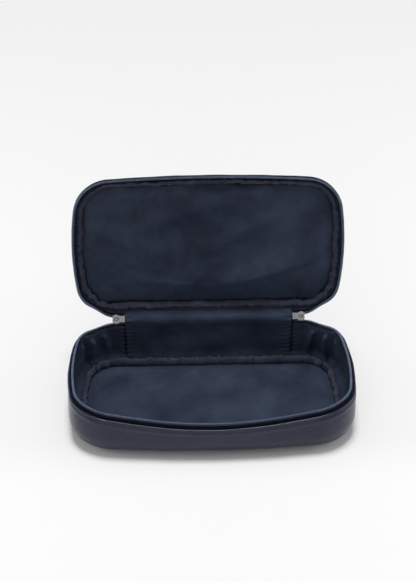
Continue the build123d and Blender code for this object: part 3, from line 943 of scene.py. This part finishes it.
def seam_binding(tray):
    """The bound seam: a ruched ridge round the panel, wavy at the corners."""
    s = np.linspace(0, ROUND, int(ROUND / 0.55) + 1)
    kept = s[:-1]
    at = kept[:, None]
    angle = np.linspace(-0.18 * pi, 1.18 * pi, 24)[None]

    def wavy(seed, wave):
        """A ripple that closes on itself round the rim."""
        random = np.random.default_rng(seed)
        total = 0.0
        for _ in range(7):
            count = max(1, round(ROUND / wave * 1.7 ** random.uniform(-1, 1)))
            phase = 2 * pi * count * (at / ROUND) + random.uniform(0, 2 * pi)
            total = total + np.sin(phase + angle * random.uniform(-0.8, 0.8))
        return total / 3.0

    corner = sum(bell(at - middle, 24.0) for middle in BACK_CORNERS)
    ruche = wavy(3, 3.0) * 0.13 + wavy(7, 7.5) * 0.10
    lateral = wavy(11, 17.0) * (0.35 + 0.9 * corner) + wavy(19, 60.0) * 0.35
    height = tray.ridge_height * (1 + wavy(13, 21.0) * (0.05 + 0.10 * corner))
    if tray is BASE:
        height = height * (0.68 + 0.32 * smooth((rim(kept)[0][:, 1:] / HALF_DEPTH - 0.3) / 0.5))
    c, d = np.cos(angle), np.sin(angle)
    width = tray.ridge_width / 2 * (1 + ruche)
    rise = np.where(d > 0, height * (1 + ruche * 0.5) * np.abs(d)**0.7, 1.2 * d)
    waist = BINDING_NECK + (1 - BINDING_NECK) * smooth((rise / tray.ridge_height - 0.10) / 0.26)
    middle = tray.ridge_inset + lateral + ridge_shift(tray, kept)[:, None]
    inset = middle - width * blunt(c, 0.8) * waist
    depth = tray.floor + 0.15 - rise
    points = on_wall(tray, at, tray.ridge_lean * (tray.floor - depth) - inset, depth)
    across = np.append(lengths(points), lengths(points)[-1] + tray.ridge_width)
    piece = strip(f"{tray.name}_bound_seam", points, s, across, tray.name, BINDING,
                  ring=True, loop=True)
    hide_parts(f"{tray.name}_seam_binding")
    rows = np.arange(0, ROUND - 1, BINDING_STITCH_PITCH)
    pick = np.clip((rows / ROUND * len(kept)).astype(int), 0, len(kept) - 1)
    ridge = points[pick, 4 if tray is BASE else 5]
    along = points[(pick + 1) % len(kept), 4] - points[pick - 1, 4]
    out = unit(np.cross(along, ridge - points[pick, 3]))
    core = points[pick].mean(1)
    out = out * np.sign(((ridge - core) * out).sum(1))[:, None]
    beads(f"{tray.name}_binding_stitches", ridge + 0.05 * out, along, out, BINDING_STITCH, tray.name,
          THREAD)


def ridge_shift(tray, s):
    """How much further in the lid's ridge lies along the hinge than elsewhere."""
    if tray is BASE:
        return np.zeros_like(s)
    point, _ = rim(s)
    at_hinge = smooth((point[:, 1] / HALF_DEPTH - 0.88) / 0.1)
    return HINGE_SHIFT * at_hinge * smooth((0.86 - np.abs(point[:, 0]) / HALF_LENGTH) / 0.25)


def panel_sheet(tray):
    """Flat cloth inside the bound seam: edge points, then a lattice of inner points, triangulated."""
    spacing = 2.6
    s = np.linspace(0, ROUND, int(ROUND / spacing))[:-1]
    point, normal = rim(s)
    edge = point - normal * (tray.ridge_inset + 0.6 + ridge_shift(tray, s))[:, None]
    lattice = []
    for n, y in enumerate(np.arange(-HALF_DEPTH, HALF_DEPTH, spacing * 0.87)):
        x = np.arange(-HALF_LENGTH, HALF_LENGTH, spacing) + (spacing / 2 if n % 2 else 0)
        lattice.append(np.stack([x, np.full_like(x, y)], -1))
    lattice = np.vstack(lattice)
    away = np.full(len(lattice), np.inf)
    inside = np.ones(len(lattice), bool)
    for a, b in zip(edge, np.roll(edge, -1, axis=0)):
        line = b - a
        relative = lattice - a
        cross = line[0] * relative[:, 1] - line[1] * relative[:, 0]
        inside &= cross < 0
        away = np.minimum(away, np.abs(cross) / np.linalg.norm(line))
    flat = np.vstack([edge, lattice[inside & (away > spacing * 0.45)]])
    result = delaunay_2d_cdt([Vector(p) for p in flat], [], [list(range(len(edge)))], 1, 1e-5)
    return np.array([[*v, 0.0] for v in result[0]]), [list(f) for f in result[2]], len(edge)


def simulated(points, faces, rim_count, grow, seed):
    """Points of a loose cloth pinned round its edge, buckled up off the board it lies on. grow is the share
    by which the cloth is too large."""
    frames = 24
    most = 2.4
    start = points * MM
    start[:, 2] += 0.00035 * (1 + ripple(points[:, 0] / 48, points[:, 1] / 36, seed))
    cloth = new_object("cloth_run", new_mesh("cloth_run", start.tolist(), faces))
    pins = cloth.vertex_groups.new(name="pins")
    pins.add(list(range(rim_count)), 1.0, "REPLACE")
    board = new_object("cloth_board", flat_square("cloth_board", 0.2))
    board.modifiers.new("Collision", "COLLISION")
    board.collision.thickness_outer = 0.0003
    run = cloth.modifiers.new("Cloth", "CLOTH")
    assign(run.settings, vertex_group_mass="pins", shrink_min=-grow, mass=0.15, quality=6, air_damping=4,
           tension_stiffness=20, compression_stiffness=20, shear_stiffness=8, bending_stiffness=1.2)
    run.settings.effector_weights.gravity = 0.25
    run.collision_settings.distance_min = 0.0003
    assign(run.point_cache, frame_start=1, frame_end=frames)
    for step in range(1, frames + 1):
        bpy.context.scene.frame_set(step)
    shaped = cloth.evaluated_get(bpy.context.evaluated_depsgraph_get())
    move = np.array([v.co for v in shaped.data.vertices]) / MM - points
    bpy.context.scene.frame_set(1)
    for thing in (cloth, board):
        data = thing.data
        bpy.data.objects.remove(thing)
        bpy.data.meshes.remove(data)
    move[:, 2] = most * np.tanh(np.clip(move[:, 2], 0, None) / most)
    return points + np.clip(move, -most, most)


def panel_lining(tray):
    """The twill panel inside the bound seam, loose over thin foam."""
    grow, seed, puff, wave_seed, wave_size = (0.02, 21, 0.9, 15, 0.5)
    if tray is LID:
        grow, seed, puff, wave_seed, wave_size = (0.028, 22, 1.5, 16, 0.8)
    points, faces, rim_count = panel_sheet(tray)
    points = simulated(points, faces, rim_count, grow, seed)
    x, y, rise = points.T
    inner = 1 - np.clip(np.hypot(x / (HALF_LENGTH - 8), y / (HALF_DEPTH - 8)), 0, 1)
    crown = puff * smooth(inner * 2.2)
    wave = ripple(x / 70, y / 48, wave_seed) * smooth(inner * 3) * wave_size
    from_ridge = np.min(np.hypot(x[:, None] - x[None, :rim_count], y[:, None] - y[None, :rim_count]), axis=1)
    crease = 1.3 * bell(from_ridge, 4.8) - 0.6 * bell(from_ridge - 7.5, 3.0)
    height = rise * 0.8 + crown + wave - crease
    if tray is LID:
        height = height + 1.25 * lid_folds(x, y) * smooth(inner * 8)
    x_set, y_set, depth = settled(tray, x, y, tray.floor - height)
    over_foam = tray.floor + 0.1 + 2.5 * (1 - smooth((from_ridge - 2.0) / 3.5))
    world = place(tray, x_set, y_set, np.minimum(depth, over_foam))
    corners = np.concatenate([np.array(f) for f in faces])
    uv = np.stack([x[corners], y[corners]], -1)
    piece = make(f"{tray.name}_panel_lining_cloth", world, faces, uv, tray.name, LINING)
    a, b, c = world[faces[0]]
    if np.cross(b - a, c - a) @ (on_back(tray, 0.0, 0.0) - on_back(tray, 0.0, 1.0)) < 0:
        piece.data.flip_normals()
    thicken(piece)
    assign(piece.modifiers.new("soft", "SUBSURF"), levels=1, render_levels=1)
    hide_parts(f"{tray.name}_panel_lining")


def lid_folds(x, y):
    """Long soft folds across the lower part of the lid's lining: each slopes up gently and drops off
    sharply on the hinge side. Broad diagonal swells lie above them."""
    total = 0.0
    for at_x, at_y, long, above, below, turn, high in (
            (-49, 40, 36, 10, 2.4, -0.10, 4.2), (45, 27, 44, 13, 2.8, -0.28, 4.4),
            (-12, 26, 30, 9, 4.0, 0.16, 1.2), (-74, -8, 30, 10, 6, 0.7, 2.8),
            (38, -18, 44, 9, 6, -0.5, 3.0), (-22, -30, 40, 9, 7, -0.35, 2.2)):
        along = (x - at_x) * math.cos(turn) + (y - at_y) * math.sin(turn)
        across = -(x - at_x) * math.sin(turn) + (y - at_y) * math.cos(turn)
        wide = np.where(across > 0, below, above)
        total = total + high * bell(along, long) * bell(across, wide)
    return total


# ---- what the lining hides
def inner_layers(tray):
    """Interlining behind the wall leather, and the foam under the panel lining. The board is the CAD's."""
    depths = np.linspace(tray.tape_width + 0.3, tray.depth - LEATHER_THICK - 0.2, 9)
    outer = [(stand_out(tray, LEATHER_THICK + 0.02, d), d) for d in depths]
    inner = [(stand_out(tray, LEATHER_THICK + 0.8, min(d, tray.depth - 2.1)), d) for d in depths[::-1]]
    piece = wall_strip(f"{tray.name}_fibre_layer", tray, outer + inner, FELT, step=3.0)
    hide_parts(f"{tray.name}_interlining")
    clad(f"{tray.name}_board", BOARD)
    top = tray.floor + 0.45
    bottom = tray.depth - LEATHER_THICK - 1.65
    s = np.linspace(0, ROUND, 200)[:-1]
    edge = (tray.ridge_inset + FOAM_GAP + ridge_shift(tray, s))[:, None]
    section = ((0.5, bottom), (0.0, bottom - 0.15), (0.0, top + 0.15), (0.5, top))
    grid = np.stack([level_ring(tray, s, -edge - inward, depth) for inward, depth in section], 1)
    faces, corners = capped(grid)
    foam = make(f"{tray.name}_foam", grid, faces, corners[:, :2], tray.name, FOAM, shut=True)
    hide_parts(f"{tray.name}_padding")


# ---- stage
CAMERA_FAR = 1200.0
CAMERA_TILT = math.radians(32.0)
CAMERA_TURN = math.radians(-1.9)
CAMERA_AIM = (-2.7, 0.0, 113.0)
CAMERA_LENS = 94.3


def stage():
    """Pale paper floor, soft even studio light, and the camera."""
    mesh = flat_square("studio_floor", 6.0)
    mesh.materials.append(paper_floor())
    floor = new_object("studio_floor", mesh)

    world = bpy.data.worlds.new("studio")
    bpy.context.scene.world = world
    world.use_nodes = True
    background = world.node_tree.nodes["Background"]
    direction = world.node_tree.nodes.new("ShaderNodeTexCoord").outputs["Generated"]
    height = world.node_tree.nodes.new("ShaderNodeSeparateXYZ")
    glow = world.node_tree.nodes.new("ShaderNodeMapRange")
    glow.inputs["To Min"].default_value = 0.06
    glow.inputs["To Max"].default_value = 0.40
    world.node_tree.links.new(direction, height.inputs[0])
    world.node_tree.links.new(height.outputs["Z"], glow.inputs["Value"])
    world.node_tree.links.new(glow.outputs["Result"], background.inputs["Strength"])
    background.inputs["Color"].default_value = (1.0, 1.0, 1.0, 1)

    for name, energy, spread, tilt, turn in (("key", 2.05, 18, -2, 8), ("front", 0.60, 60, 72, -10)):
        data = bpy.data.lights.new(name, "SUN")
        assign(data, energy=energy, angle=math.radians(spread))
        new_object(name, data).rotation_euler = (math.radians(tilt), 0, math.radians(turn))

    for name, side in (("left_box", -1), ("right_box", 1)):
        data = bpy.data.lights.new(name, "AREA")
        assign(data, shape="RECTANGLE", size=0.7, size_y=0.5, energy=2.6)
        spot = Vector((side * 0.95, -0.08, 0.42))
        assign(new_object(name, data), location=spot, visible_camera=False,
               rotation_euler=spot.to_track_quat("Z", "Y").to_euler())

    camera = new_object("camera", bpy.data.cameras.new("camera"))
    level = math.cos(CAMERA_TILT)
    back = Vector((math.sin(CAMERA_TURN) * level, -math.cos(CAMERA_TURN) * level, math.sin(CAMERA_TILT)))
    camera.location = (Vector(CAMERA_AIM) + back * CAMERA_FAR) * MM
    camera.rotation_euler = back.to_track_quat("Z", "Y").to_euler()
    assign(camera.data, lens=CAMERA_LENS, sensor_width=36.0, clip_start=0.05)
    camera.data.dof.use_dof = False
    bpy.context.scene.camera = camera
    bpy.context.scene.view_settings.view_transform = "Standard"


stage()
for tray in (BASE, LID):
    leather_shell(tray)
    leather_panel(tray)
    zip_tape(tray)
    zip_coil(tray)
    inner_layers(tray)
    seam_binding(tray)
    wall_lining(tray)
    panel_lining(tray)
spine_leather()
hinge_lining()
metal_parts()
slider_eyes()
